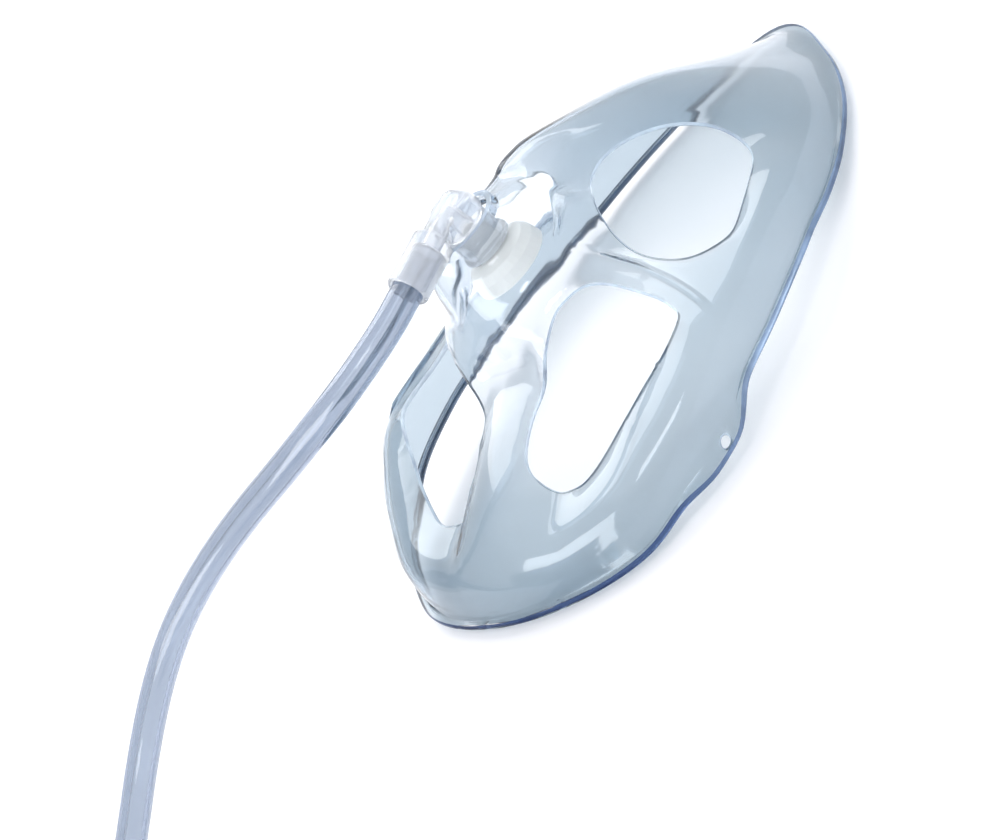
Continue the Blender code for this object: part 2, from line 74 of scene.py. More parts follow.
# The elbow, diffuser and tube
CLEAR = 0.3
TUBE_RADIUS = 3.2
LUMEN_RADIUS = 2.15
BARREL_RADIUS = 5.6
SPIGOT_LENGTH = 7.0
PASSAGE_RADIUS = 2.9
GAS_BORE_RADIUS = 1.5
ELBOW_WALL = 1.3
SOCKET_LENGTH = 18.7
TUBE_GRIP = 9.0
SWIVEL_TURN = 6.0
SNAP_LIP = 0.6
SOCKET_AXIS_RISE = 3.4
SOCKET_WALL = 0.7
LUMEN_RIPPLE = 0.22
COLLAR_TOP = SHELL_HEIGHT + WALL
SOCKET_AXIS = COLLAR_TOP + SOCKET_AXIS_RISE
NECK_TOP = COLLAR_TOP - 1.3

# The coil of the length that the photograph doesn't show
COIL_INNER_TURN = 33.0
COIL_OUTER_TURN = 39.6
COIL_PITCH = 6.6
COIL_LAYERS = 5
COIL_SLACK = 0.2
TIE_THICKNESS = 1.0
CONNECTOR_RADIUS = 4.8
CONNECTOR_GRIP = 12.0
TAIL_LENGTH = 28.0

# Angle round the hub, rim distance, share of the cheek lift, then shares of the way and of the height
SECTIONS = (
    (-90, 60.5, 0.0, ((0.04, 0.66), (0.10, 0.48), (0.36, 0.43), (0.66, 0.35), (0.90, 0.19))),
    (-79, 60.8, 0.0, ((0.05, 0.66), (0.10, 0.49), (0.36, 0.42), (0.65, 0.32), (0.89, 0.19))),
    (-71, 61.4, 0.0, ((0.06, 0.66), (0.11, 0.50), (0.36, 0.39), (0.65, 0.24), (0.88, 0.20))),
    (-58, 62.3, 0.03, ((0.08, 0.65), (0.17, 0.53), (0.38, 0.39), (0.66, 0.26), (0.90, 0.22))),
    (-44, 59.9, 0.40, ((0.10, 0.66), (0.20, 0.54), (0.37, 0.42), (0.60, 0.33), (0.91, 0.26))),
    (-30, 56.8, 0.80, ((0.11, 0.67), (0.22, 0.56), (0.42, 0.46), (0.69, 0.37), (0.95, 0.30))),
    (-16, 54.2, 1.0, ((0.10, 0.69), (0.20, 0.59), (0.49, 0.48), (0.81, 0.41), (0.98, 0.34))),
    (0, 52.2, 0.95, ((0.06, 0.73), (0.18, 0.60), (0.50, 0.49), (0.82, 0.40), (0.98, 0.33))),
    (15, 51.6, 0.74, ((0.06, 0.76), (0.18, 0.63), (0.46, 0.49), (0.80, 0.37), (0.97, 0.28))),
    (30, 54.4, 0.45, ((0.06, 0.78), (0.18, 0.66), (0.43, 0.50), (0.76, 0.34), (0.94, 0.22))),
    (45, 58.8, 0.16, ((0.05, 0.77), (0.16, 0.70), (0.39, 0.55), (0.69, 0.33), (0.90, 0.18))),
    (60, 66.3, 0.03, ((0.05, 0.82), (0.14, 0.77), (0.35, 0.63), (0.63, 0.40), (0.86, 0.18))),
    (75, 75.2, 0.0, ((0.04, 0.88), (0.12, 0.84), (0.31, 0.71), (0.57, 0.48), (0.82, 0.20))),
    (90, 85.0, 0.0, ((0.03, 0.93), (0.11, 0.90), (0.28, 0.76), (0.53, 0.53), (0.74, 0.25))),
)
CHEEK_ROW = 7

# Windows, as angles round the hub and shares of the way from the dome to the rim
UPPER_WINDOW = (
    (33, 0.15), (10, 0.23), (-1, 0.45), (-1, 0.70), (6, 0.84), (19, 0.82),
    (35, 0.77), (47, 0.70), (56, 0.60), (61, 0.46), (60, 0.30), (50, 0.17),
)
LOWER_WINDOW = (
    (-32, 0.15), (-16, 0.22), (-14, 0.45), (-16, 0.68), (-20, 0.78), (-37, 0.68),
    (-58, 0.68), (-67, 0.67), (-75, 0.61), (-78.5, 0.50), (-75, 0.31), (-65, 0.20), (-50, 0.15),
)

# The tube's route from the elbow's mouth to the coil, the same points as in the CAD
TUBE_ROUTE = (
    (-1.95, -18.6, 51.2), (-3.3, -26.6, 51.1), (-7.4, -33.8, 50.4), (-13.6, -39.7, 49.1),
    (-21.7, -44.3, 47.2), (-31.5, -47.9, 44.6), (-46.6, -51.9, 40.4), (-58.6, -55.5, 36.6),
    (-68.9, -59.7, 32.8), (-77.6, -64.8, 28.8), (-84.2, -71.2, 24.6), (-88.7, -78.8, 20.3),
    (-91.4, -87.4, 16.1), (-92.4, -96.5, 12.4), (-92.2, -106.0, 9.4), (-91.2, -116.0, 7.2),
    (-89.6, -126.0, 5.6), (-88.4, -136.0, 4.8), (-88.0, -145.0, 4.6),
)


def metres(p):
    """A place in millimetres from the hub axis, in metres in the world."""
    return (Vector(p) + HUB) * MM


# The camera, at the photograph's angle
CAMERA_RIGHT = Vector((0.5985, 0.3613, -0.7153))
CAMERA_DOWN = Vector((-0.1966, -0.799, -0.5685))
CAMERA_DISTANCE = 900.0
PIXELS_PER_MM = 5.2
FOOT_PIXEL = (636.0, 365.0)
PICTURE = (1000, 840)


def add_camera():
    """A long lens at the photograph's angle; the hub's foot falls on its own pixel."""
    right = CAMERA_RIGHT.normalized()
    down = (CAMERA_DOWN - right * CAMERA_DOWN.dot(right)).normalized()
    forward = right.cross(down)
    place = Vector((0, 0, WALL)) - forward * CAMERA_DISTANCE
    place -= right * (FOOT_PIXEL[0] - PICTURE[0] / 2) / PIXELS_PER_MM
    place -= down * (FOOT_PIXEL[1] - PICTURE[1] / 2) / PIXELS_PER_MM
    data = bpy.data.cameras.new("camera")
    data.sensor_width = 36.0
    data.lens = PIXELS_PER_MM * CAMERA_DISTANCE / PICTURE[0] * data.sensor_width
    camera = bpy.data.objects.new("camera", data)
    turn = Matrix((right, -down, -forward)).transposed().to_4x4()
    camera.matrix_world = Matrix.Translation(metres(place)) @ turn
    bpy.context.scene.collection.objects.link(camera)
    bpy.context.scene.camera = camera


# The finishes, with distances from the hub axis and places along Y in metres
# the painted sheen on the vinyl is full inside PALE_RADIUS and gone beyond FULL_RADIUS
PALE_RADIUS = 0.016
FULL_RADIUS = 0.046
CHIN_FADE = (-0.030, -0.058)


def new_material(name):
    """A material with its node tree and its main shader."""
    made = bpy.data.materials.new(name)
    made.use_nodes = True
    return made, made.node_tree, made.node_tree.nodes["Principled BSDF"]


def clear_plastic(
    name, colour, roughness, ior, tint=None, density=0.0, clear=1.0, coat=0.0, cheeks=None,
):
    """Clear moulded plastic with faint flow ripples, a touch of haze and a coloured depth; with cheek
    colours given, a painted sheen pales the arms and the dome.
    """
    made, tree, shader = new_material(name)
    shader.inputs["Base Color"].default_value = (*colour, 1)
    shader.inputs["Transmission Weight"].default_value = clear
    shader.inputs["IOR"].default_value = ior
    shader.inputs["Coat Weight"].default_value = coat
    shader.inputs["Coat Roughness"].default_value = 0.05
    place = tree.nodes.new("ShaderNodeTexCoord")
    ripples = tree.nodes.new("ShaderNodeTexNoise")
    ripples.inputs["Scale"].default_value = 250
    ripples.inputs["Detail"].default_value = 2
    tree.links.new(place.outputs["Object"], ripples.inputs["Vector"])
    haze = tree.nodes.new("ShaderNodeMapRange")
    haze.inputs["To Min"].default_value = roughness * 0.7
    haze.inputs["To Max"].default_value = roughness * 1.4
    tree.links.new(ripples.outputs["Fac"], haze.inputs["Value"])
    tree.links.new(haze.outputs["Result"], shader.inputs["Roughness"])
    relief = tree.nodes.new("ShaderNodeBump")
    relief.inputs["Strength"].default_value = 0.02
    relief.inputs["Distance"].default_value = 0.001
    tree.links.new(ripples.outputs["Fac"], relief.inputs["Height"])
    tree.links.new(relief.outputs["Normal"], shader.inputs["Normal"])
    if cheeks:
        # painted sheen: the base colour is paler over the arms and the dome than over the cheeks and the
        # chin, standing in for lamps reflected there
        centre = tree.nodes.new("ShaderNodeMapping")
        centre.inputs["Location"].default_value = -HUB * MM
        centre.inputs["Scale"].default_value = (1, 1, 0)
        tree.links.new(place.outputs["Object"], centre.inputs["Vector"])
        distance = tree.nodes.new("ShaderNodeVectorMath")
        distance.operation = "LENGTH"
        tree.links.new(centre.outputs["Vector"], distance.inputs[0])
        spread = tree.nodes.new("ShaderNodeMapRange")
        spread.inputs["From Min"].default_value = PALE_RADIUS
        spread.inputs["From Max"].default_value = FULL_RADIUS
        tree.links.new(distance.outputs["Value"], spread.inputs["Value"])
        sheen_ramp = tree.nodes.new("ShaderNodeValToRGB")
        sheen_ramp.color_ramp.elements[0].color = (*colour, 1)
        sheen_ramp.color_ramp.elements[1].color = (*cheeks, 1)
        tree.links.new(spread.outputs["Result"], sheen_ramp.inputs["Fac"])
        tree.links.new(sheen_ramp.outputs["Color"], shader.inputs["Base Color"])
    if density:
        depth = tree.nodes.new("ShaderNodeVolumeAbsorption")
        depth.inputs["Color"].default_value = (*tint, 1)
        depth.inputs["Density"].default_value = density
        tree.links.new(depth.outputs["Volume"], tree.nodes["Material Output"].inputs["Volume"])
    return made


def edge_plastic(name, colour, roughness, chin=None):
    """The cut edge of clear vinyl, where the depth of the wall shows its tint."""
    made, tree, shader = new_material(name)
    shader.inputs["Roughness"].default_value = roughness
    shader.inputs["IOR"].default_value = 1.12
    shader.inputs["Transmission Weight"].default_value = 0.45
    place = tree.nodes.new("ShaderNodeTexCoord")
    cloud = tree.nodes.new("ShaderNodeTexNoise")
    cloud.inputs["Scale"].default_value = 160
    tree.links.new(place.outputs["Object"], cloud.inputs["Vector"])
    ramp = tree.nodes.new("ShaderNodeValToRGB")
    ramp.color_ramp.elements[0].position = 0.3
    ramp.color_ramp.elements[0].color = (*(c * 0.7 for c in colour), 1)
    ramp.color_ramp.elements[1].position = 0.7
    ramp.color_ramp.elements[1].color = (*(min(1.0, c * 1.25) for c in colour), 1)
    tree.links.new(cloud.outputs["Fac"], ramp.inputs["Fac"])
    tree.links.new(ramp.outputs["Color"], shader.inputs["Base Color"])
    if chin:
        # the edge looks darkest round the chin in the photograph
        split = tree.nodes.new("ShaderNodeSeparateXYZ")
        tree.links.new(place.outputs["Object"], split.inputs["Vector"])
        fade = tree.nodes.new("ShaderNodeMapRange")
        fade.inputs["From Min"].default_value = CHIN_FADE[0]
        fade.inputs["From Max"].default_value = CHIN_FADE[1]
        tree.links.new(split.outputs["Y"], fade.inputs["Value"])
        blend = tree.nodes.new("ShaderNodeMix")
        blend.data_type = "RGBA"
        blend.inputs["B"].default_value = (*chin, 1)
        tree.links.new(fade.outputs["Result"], blend.inputs["Factor"])
        tree.links.new(ramp.outputs["Color"], blend.inputs["A"])
        tree.links.new(blend.outputs["Result"], shader.inputs["Base Color"])
    return made


def satin_plastic(name, colour, roughness, subsurface=0.0):
    """Opaque moulded plastic with a fine spark-eroded grain."""
    made, tree, shader = new_material(name)
    shader.inputs["Base Color"].default_value = (*colour, 1)
    shader.inputs["Subsurface Weight"].default_value = subsurface
    shader.inputs["Subsurface Scale"].default_value = 0.002
    place = tree.nodes.new("ShaderNodeTexCoord")
    grain = tree.nodes.new("ShaderNodeTexNoise")
    grain.inputs["Scale"].default_value = 2500
    tree.links.new(place.outputs["Object"], grain.inputs["Vector"])
    spread = tree.nodes.new("ShaderNodeMapRange")
    spread.inputs["To Min"].default_value = roughness * 0.85
    spread.inputs["To Max"].default_value = roughness * 1.15
    tree.links.new(grain.outputs["Fac"], spread.inputs["Value"])
    tree.links.new(spread.outputs["Result"], shader.inputs["Roughness"])
    relief = tree.nodes.new("ShaderNodeBump")
    relief.inputs["Strength"].default_value = 0.05
    relief.inputs["Distance"].default_value = 0.0002
    tree.links.new(grain.outputs["Fac"], relief.inputs["Height"])
    tree.links.new(relief.outputs["Normal"], shader.inputs["Normal"])
    return made


# The shell
def between(xs, ys, x):
    """Value at x on a smooth curve through the points that never overshoots them."""
    if x <= xs[0]:
        return ys[0]
    if x >= xs[-1]:
        return ys[-1]
    k = 0
    while xs[k + 1] < x:
        k += 1
    slopes = []
    for j in (k, k + 1):
        if j == 0 or j == len(xs) - 1:
            slopes.append(0.0)
            continue
        before = (ys[j] - ys[j - 1]) / (xs[j] - xs[j - 1])
        after = (ys[j + 1] - ys[j]) / (xs[j + 1] - xs[j])
        turns = before * after <= 0
        slopes.append(0.0 if turns else 2 * before * after / (before + after))
    span = xs[k + 1] - xs[k]
    t = (x - xs[k]) / span
    rise = ys[k + 1] - ys[k]
    ease = t * t * (3 - 2 * t)
    lead = span * t * (1 - t) * ((1 - t) * slopes[0] - t * slopes[1])
    return ys[k] + rise * ease + lead


ANGLES = [row[0] for row in SECTIONS]
STATIONS = list(range(11))
RIM_STATION = 10.0


def rim_radius(angle):
    """Distance from the hub axis to the rim, stretched to the three reaches."""
    a = math.radians(angle)
    plain = between(ANGLES, [row[1] for row in SECTIONS], angle)
    across = CHEEK_REACH / SECTIONS[CHEEK_ROW][1]
    along = NOSE_REACH / SECTIONS[-1][1] if angle > 0 else CHIN_REACH / SECTIONS[0][1]
    return plain * math.hypot(across * math.cos(a), along * math.sin(a))


def strap_tab(angle):
    """How far the strap tab has grown out of the raised rim, from 0 to 1."""
    rise = 1.3 * (1 - abs(angle - STRAP_TAB_ANGLE) / STRAP_TAB_SPAN)
    rise = min(1.0, max(0.0, rise))
    return rise * rise * (3 - 2 * rise)


@lru_cache(maxsize=None)
def section(angle):
    """Distances and heights of the shell's profile, from the collar's mouth to the rim's edge."""
    rim = rim_radius(angle)
    low = CHEEK_LIFT * between(ANGLES, [row[2] for row in SECTIONS], angle)
    ridge = max(0.0, math.sin(math.radians(angle))) ** 2.2
    r = [COLLAR_RADIUS, COLLAR_RADIUS + 0.2, 0.82 * DOME_RADIUS, DOME_RADIUS]
    z = [SHELL_HEIGHT, SHELL_HEIGHT - COLLAR_DEPTH, 0.908 * SHELL_HEIGHT]
    z.append(SHELL_HEIGHT * (0.755 + 0.155 * ridge))
    for k in range(5):
        way = between(ANGLES, [row[3][k][0] for row in SECTIONS], angle)
        height = between(ANGLES, [row[3][k][1] for row in SECTIONS], angle)
        r.append(DOME_RADIUS + way * (rim - DOME_RADIUS))
        z.append(SHELL_HEIGHT * height)
    tab = strap_tab(angle)
    r.extend([rim - FLANGE, rim + STRAP_TAB_FLARE * tab])
    z.extend([low, low * (1 - STRAP_TAB_DROP * tab)])
    return r, z, rim


def rib_crest(way):
    """The angle of a side arm's crease at a share of the way from the dome to the rim."""
    return 2.6 - 19.0 * way


def arm_rib(angle, radius, rim):
    """Height of the crease along each side arm, which fades at both ends."""
    way = (radius - DOME_RADIUS) / (rim - DOME_RADIUS)
    if way <= ARM_RIB_START or way >= ARM_RIB_END:
        return 0.0
    off = radius * math.radians(angle - rib_crest(way)) / (ARM_RIB_WIDTH / 2)
    ends = min(1.0, (way - ARM_RIB_START) / 0.12, (ARM_RIB_END - way) / 0.06)
    return ARM_RIB_HEIGHT * ends * max(0.0, 1 - off * off) ** 2


# The pips beside the rim, as angles round the hub and stations
PIPS = ((-21.0, 8.6), (-79.0, 9.55))
PIP_RADIUS = 1.1
PIP_HEIGHT = 0.55


@lru_cache(maxsize=None)
def pip_centres():
    """Places of the small round pips moulded beside the rim, with their angles."""
    return [(a, plain_place(a, s)) for a, s in PIPS]


def pip(angle, place):
    """Height that the pips add at a place of the shell."""
    for middle, centre in pip_centres():
        if abs(angle - middle) < 4:
            off = (place - centre).length / PIP_RADIUS
            if off < 1:
                return PIP_HEIGHT * (1 - off * off) ** 2
    return 0.0


def pip_rings():
    """Rings of points round each pip, in the flat pattern."""
    lines = []
    for angle, s in PIPS:
        foot, edge = plain_place(angle, s - 0.2), plain_place(angle, s + 0.2)
        across = 0.4 / (edge - foot).length
        along = math.degrees(1 / edge.xy.length)
        for radius in (0.3, 0.6, 0.8, 0.92, 1.2):
            line = []
            for k in range(16):
                t = 2 * math.pi * k / 16
                r = radius * PIP_RADIUS
                place = (angle + along * r * math.cos(t), s + across * r * math.sin(t))
                line.append(flat_place(*place))
            lines.append(line)
    return lines


ANGLE_STEP = 0.5
STATION_STEP = 0.05
ANGLE_BLUR = 3.0
STATION_BLUR = 4.5
SHARED_ROWS = 12


def softened(values, sigma):
    """Rows of values with a bell-shaped blur along them that keeps both ends in place."""
    reach = int(3 * sigma)
    start = 2 * values[:, :1] - values[:, reach:0:-1]
    end = 2 * values[:, -1:] - values[:, -2:-2 - reach:-1]
    padded = np.concatenate((start, values, end), axis=1)
    weights = np.exp(-0.5 * (np.arange(-reach, reach + 1) / sigma) ** 2)
    weights /= weights.sum()
    rows = [np.convolve(row, weights, "valid") for row in padded]
    return np.array(rows)


@lru_cache(maxsize=None)
def shell_table():
    """Distances and heights of the whole half shell, with every corner softened."""
    stations = np.arange(0, RIM_STATION + STATION_STEP / 2, STATION_STEP)
    angles = np.arange(-90, 90 + ANGLE_STEP / 2, ANGLE_STEP)
    tables = []
    for part in (0, 1):
        rows = [[between(STATIONS, section(a)[part], s) for s in stations] for a in angles]
        rows = softened(np.array(rows), STATION_BLUR)
        before, after = rows[SHARED_ROWS:0:-1], rows[-2:-2 - SHARED_ROWS:-1]
        mirrored = np.concatenate((before, rows, after)).T
        tables.append(softened(mirrored, ANGLE_BLUR).T[SHARED_ROWS:-SHARED_ROWS])
    return tables


def plain_place(angle, s):
    """Point of the shell without its crease and pips."""
    row = min(max((angle + 90) / ANGLE_STEP, 0), 180 / ANGLE_STEP - 1e-6)
    column = min(max(s / STATION_STEP, 0), RIM_STATION / STATION_STEP - 1e-6)
    i, j = int(row), int(column)
    u, v = row - i, column - j
    radius, height = (
        (1 - u) * ((1 - v) * t[i, j] + v * t[i, j + 1])
        + u * ((1 - v) * t[i + 1, j] + v * t[i + 1, j + 1])
        for t in shell_table()
    )
    a = math.radians(angle)
    return Vector((radius * math.cos(a), radius * math.sin(a), height + WALL))


def on_shell(angle, s):
    """Point of the shell's outer face, s running from 0 at the collar's mouth to 10 at the rim."""
    place = plain_place(angle, s)
    place.z += arm_rib(angle, place.xy.length, rim_radius(angle)) + pip(angle, place)
    return place


def station_at(angle, radius):
    """The s at which the shell's profile passes the radius."""
    r = section(angle)[0]
    low, high = 0.0, RIM_STATION
    for _ in range(24):
        middle = (low + high) / 2
        if between(STATIONS, r, middle) < radius:
            low = middle
        else:
            high = middle
    return low


def smooth_line(p, t):
    """Point at t between the middle two of four points, on a smooth curve through all."""
    a = p[1] * 2
    b = (p[2] - p[0]) * t
    c = (p[0] * 2 - p[1] * 5 + p[2] * 4 - p[3]) * t * t
    d = (p[1] * 3 - p[0] - p[2] * 3 + p[3]) * t * t * t
    return (a + b + c + d) / 2


def smooth_loop(corners, count):
    """A closed smooth curve through the corners."""
    n = len(corners)
    out = []
    for k in range(n):
        p = [Vector(corners[(k + j) % n]) for j in (-1, 0, 1, 2)]
        out.extend(smooth_line(p, j / count) for j in range(count))
    return out


PATTERN_MOUTH = 1.1


def flat_place(angle, s):
    """Where a point of the shell lies in the flat pattern that is triangulated."""
    a = math.radians(angle)
    return Vector((math.cos(a), math.sin(a))) * (s + PATTERN_MOUTH)


def window_loop(corners):
    """A window's smooth outline, as angle and station pairs."""
    places = []
    for angle, way in corners:
        radius = DOME_RADIUS + way * (rim_radius(angle) - DOME_RADIUS)
        a = math.radians(angle)
        places.append((radius * math.cos(a), radius * math.sin(a)))
    loop = []
    for p in smooth_loop(places, 10):
        angle = math.degrees(math.atan2(p.y, p.x))
        loop.append((angle, station_at(angle, p.length)))
    return loop


STRAP_HOLE_STATION = 9.47


def strap_hole_loop():
    """The round hole in the middle of the strap tab, as angle and station pairs."""
    foot, edge = on_shell(STRAP_HOLE_ANGLE, 9), on_shell(STRAP_HOLE_ANGLE, RIM_STATION)
    across = STRAP_HOLE_RADIUS / (edge - foot).length
    along = math.degrees(STRAP_HOLE_RADIUS / edge.xy.length)
    loop = []
    for k in range(20):
        t = 2 * math.pi * k / 20
        station = STRAP_HOLE_STATION + across * math.sin(t)
        loop.append((STRAP_HOLE_ANGLE + along * math.cos(t), station))
    return loop


def rib_lines():
    """Lines along the foot and the crest of a side arm's crease, in the flat pattern."""
    lines = []
    for share in (-0.5, -0.35, -0.2, 0, 0.2, 0.35, 0.5):
        line = []
        for k in range(46):
            way = ARM_RIB_START + (ARM_RIB_END - ARM_RIB_START) * k / 45
            crest = rib_crest(way)
            radius = DOME_RADIUS + way * (rim_radius(crest) - DOME_RADIUS)
            angle = crest + math.degrees(share * ARM_RIB_WIDTH / radius)
            line.append(flat_place(angle, station_at(angle, radius)))
        lines.append(line)
    return lines


def inside(point, loop):
    """Whether a flat point lies within a closed outline."""
    hit = False
    for k in range(len(loop)):
        a, b = loop[k - 1], loop[k]
        if (a.y > point.y) != (b.y > point.y):
            if point.x < a.x + (point.y - a.y) * (b.x - a.x) / (b.y - a.y):
                hit = not hit
    return hit


# Rows of points in the flat pattern: fine ones over the dome, then wider ones to the rim
FINE_ROW = 0.125
FINE_ROWS = 37
WIDE_ROW = 0.2
NEAR_LINE_SQUARED = 0.0145


def shell_pattern():
    """Half of the shell, x >= 0, as angle and station pairs joined into triangles."""
    flat, edges = [], []
    rows = [k * FINE_ROW for k in range(FINE_ROWS)]
    while rows[-1] < RIM_STATION - WIDE_ROW / 2:
        rows.append(rows[-1] + WIDE_ROW)
    rows[-1] = RIM_STATION
    loops = [window_loop(UPPER_WINDOW), window_loop(LOWER_WINDOW), strap_hole_loop()]
    outlines = [[flat_place(*p) for p in loop] for loop in loops]
    ribs = rib_lines()
    pips = pip_rings()
    rings = []
    for s in rows:
        middle = between(STATIONS, section(0)[0], s)
        count = 20 * max(2, round(math.pi * middle / MESH_STEP / 20))
        ring = []
        for k in range(count + 1):
            angle = -90 + 180 * k / count
            p = flat_place(angle, s)
            edge = k in (0, count) or s in (0, RIM_STATION)
            near = any(
                (p - q).length_squared < NEAR_LINE_SQUARED
                for line in outlines + ribs + pips for q in line
            )
            if not edge and (near or any(inside(p, line) for line in outlines)):
                continue
            ring.append(len(flat))
            flat.append(p)
        rings.append(ring)
    for ring in (rings[0], rings[-1]):
        edges.extend(zip(ring, ring[1:]))
    for a, b in zip(rings, rings[1:]):
        edges.extend([(a[0], b[0]), (a[-1], b[-1])])
    for line in outlines:
        first = len(flat)
        flat.extend(line)
        edges.extend((first + k, first + (k + 1) % len(line)) for k in range(len(line)))
    for line in ribs:
        edges.extend((len(flat) + k, len(flat) + k + 1) for k in range(len(line) - 1))
        flat.extend(line)
    for line in pips:
        flat.extend(line)
    points, _, found = delaunay_2d_cdt(flat, edges, [], 0, 1e-7)[:3]
    places = []
    for p in points:
        seam = abs(p.x) < 1e-5
        angle = math.copysign(90, p.y) if seam else math.degrees(math.atan2(p.y, p.x))
        places.append((angle, p.length - PATTERN_MOUTH))
    faces = []
    for ids in found:
        middle = sum((points[v] for v in ids), Vector((0, 0))) / 3
        on_seam = all(abs(places[v][0]) == 90 for v in ids)
        in_mouth = all(places[v][1] < 1e-4 for v in ids)
        if on_seam or in_mouth or any(inside(middle, line) for line in outlines):
            continue
        faces.append(ids)
    return places, faces


def shell_normal(angle, s):
    """Unit vector out of the shell's outer face, without its crease and pips."""
    low, high = max(0.0, s - 0.22), min(RIM_STATION, s + 0.22)
    out = plain_place(angle, high) - plain_place(angle, low)
    round_hub = plain_place(angle + 1.5, s) - plain_place(angle - 1.5, s)
    return out.cross(round_hub).normalized() * -1


def link(name, mesh, finish):
    """A mesh as an object of the scene, with smooth faces and one finish."""
    made = bpy.data.objects.new(name, mesh)
    bpy.context.scene.collection.objects.link(made)
    mesh.materials.append(finish)
    for face in mesh.polygons:
        face.use_smooth = True
    return made


def add_object(name, bm, finish):
    """A mesh made in millimetres from the hub axis, as an object in the world."""
    bmesh.ops.recalc_face_normals(bm, faces=bm.faces)
    for v in bm.verts:
        v.co = metres(v.co)
    mesh = bpy.data.meshes.new(name)
    bm.to_mesh(mesh)
    bm.free()
    return link(name, mesh, finish)


def whole_pattern():
    """Both halves: the outer face's places, its normals, its triangles and its rim."""
    places, faces = shell_pattern()
    mirrored = []
    outer, normals = [], []
    for angle, s in places:
        p, n = on_shell(angle, s), shell_normal(angle, s)
        if abs(angle) == 90:
            p.x = n.x = 0
            n.normalize()
        outer.append(p)
        normals.append(n)
    for k in range(len(places)):
        if abs(places[k][0]) == 90:
            mirrored.append(k)
            continue
        mirrored.append(len(outer))
        outer.append(Vector((-outer[k].x, outer[k].y, outer[k].z)))
        normals.append(Vector((-normals[k].x, normals[k].y, normals[k].z)))
    both = [list(ids) for ids in faces]
    both.extend([mirrored[v] for v in reversed(ids)] for ids in faces)
    rim = {v for k, (_, s) in enumerate(places) if s > RIM_STATION - 0.01 for v in (k, mirrored[k])}
    return outer, normals, both, rim


def add_shell(finish, cut_finish, rim_finish):
    """Outer and inner faces a wall apart, joined round every edge by a rounded lip."""
    outer, normals, faces, rim = whole_pattern()
    third = {}
    for ids in faces:
        for k in range(3):
            third[ids[k], ids[(k + 1) % 3]] = ids[(k + 2) % 3]
    border = {a: b for a, b in third if (b, a) not in third}
    before = {b: a for a, b in border.items()}
    bm = bmesh.new()
    outside = [bm.verts.new(p) for p in outer]
    inside_face = []
    for v, (p, n) in enumerate(zip(outer, normals)):
        at_window = v in border and v not in rim and p.xy.length > COLLAR_RADIUS + 2.5
        inside_face.append(bm.verts.new(p - n * (CUT_WALL if at_window else WALL)))
    for ids in faces:
        bm.faces.new([outside[v] for v in ids])
        bm.faces.new([inside_face[v] for v in reversed(ids)])
    lips = {}
    for v, ahead in border.items():
        along = outer[ahead] - outer[before[v]]
        away = normals[v].cross(along).normalized()
        if away.dot(outer[third[v, ahead]] - outer[v]) > 0:
            away.negate()
        drop = outside[v].co - inside_face[v].co
        upper = outer[v] + away * LIP - drop * 0.25
        lower = outer[v] + away * LIP - drop * 0.75
        lips[v] = (outside[v], bm.verts.new(upper), bm.verts.new(lower), inside_face[v])
    for v, ahead in border.items():
        for k in range(3):
            lip = (lips[v][k], lips[v][k + 1], lips[ahead][k + 1], lips[ahead][k])
            face = bm.faces.new(lip)
            face.material_index = 2 if v in rim else 1
        for side in (0, 3):
            bm.edges.get((lips[v][side], lips[ahead][side])).smooth = False
    body = add_object("mask_body", bm, finish)
    body.data.materials.append(cut_finish)
    body.data.materials.append(rim_finish)
    return body


# The tube
def coil_points():
    """The coil: up the inner turns, across at the top, and down the outer ones."""
    base = TIE_THICKNESS + CLEAR + TUBE_RADIUS
    top = base + COIL_PITCH * COIL_LAYERS
    reach = COIL_OUTER_TURN + TUBE_RADIUS + COIL_SLACK + CLEAR
    arrival = math.sqrt(reach ** 2 - (COIL_INNER_TURN - TUBE_RADIUS) ** 2)
    centre = Vector((TUBE_ROUTE[-1][0] + COIL_INNER_TURN, TUBE_ROUTE[-1][1] - arrival))
    # degrees turned on the inner turns, across, on the outer turns and down to the tail
    inner = 360 * COIL_LAYERS
    cross = 120
    over = 927
    last = 123
    points = []
    turn = 0
    while turn <= inner + cross + over + last:
        radius = COIL_INNER_TURN
        height = base + COIL_PITCH * turn / 360
        if turn > inner:
            t = min(1.0, (turn - inner) / cross)
            radius += (COIL_OUTER_TURN - COIL_INNER_TURN) * t * t * (3 - 2 * t)
            height = top
        down = turn - inner - cross
        if down > 0:
            t = max(0.0, (down - over) / last)
            height = top + (base + COIL_PITCH - top) * min(1.0, down / over)
            height += (CONNECTOR_RADIUS - base - COIL_PITCH) * t * t * (3 - 2 * t)
        a = math.radians(180 + turn)
        points.append((centre.x + radius * math.cos(a), centre.y + radius * math.sin(a), height))
        turn += 15
    return centre, points


def tube_path():
    """Every point of the tube, from inside the elbow to inside the connector."""
    turn = math.radians(SWIVEL_TURN)
    back = SOCKET_LENGTH - TUBE_GRIP
    start = (-back * math.sin(turn), -back * math.cos(turn), SOCKET_AXIS)
    corners = [Vector(p) for p in (start, *TUBE_ROUTE)]
    route = []
    for k in range(len(corners) - 1):
        p = [corners[min(max(k + j, 0), len(corners) - 1)] for j in (-1, 0, 1, 2)]
        route.extend(smooth_line(p, j / 5) for j in range(5))
    route.append(corners[-1])
    centre, coil = coil_points()
    end = centre.x + TAIL_LENGTH + CONNECTOR_GRIP
    y = centre.y - COIL_OUTER_TURN
    tail = [(centre.x + (end - centre.x) * k / 5, y, CONNECTOR_RADIUS) for k in range(1, 6)]
    return route + [Vector(p) for p in coil] + [Vector(p) for p in tail]


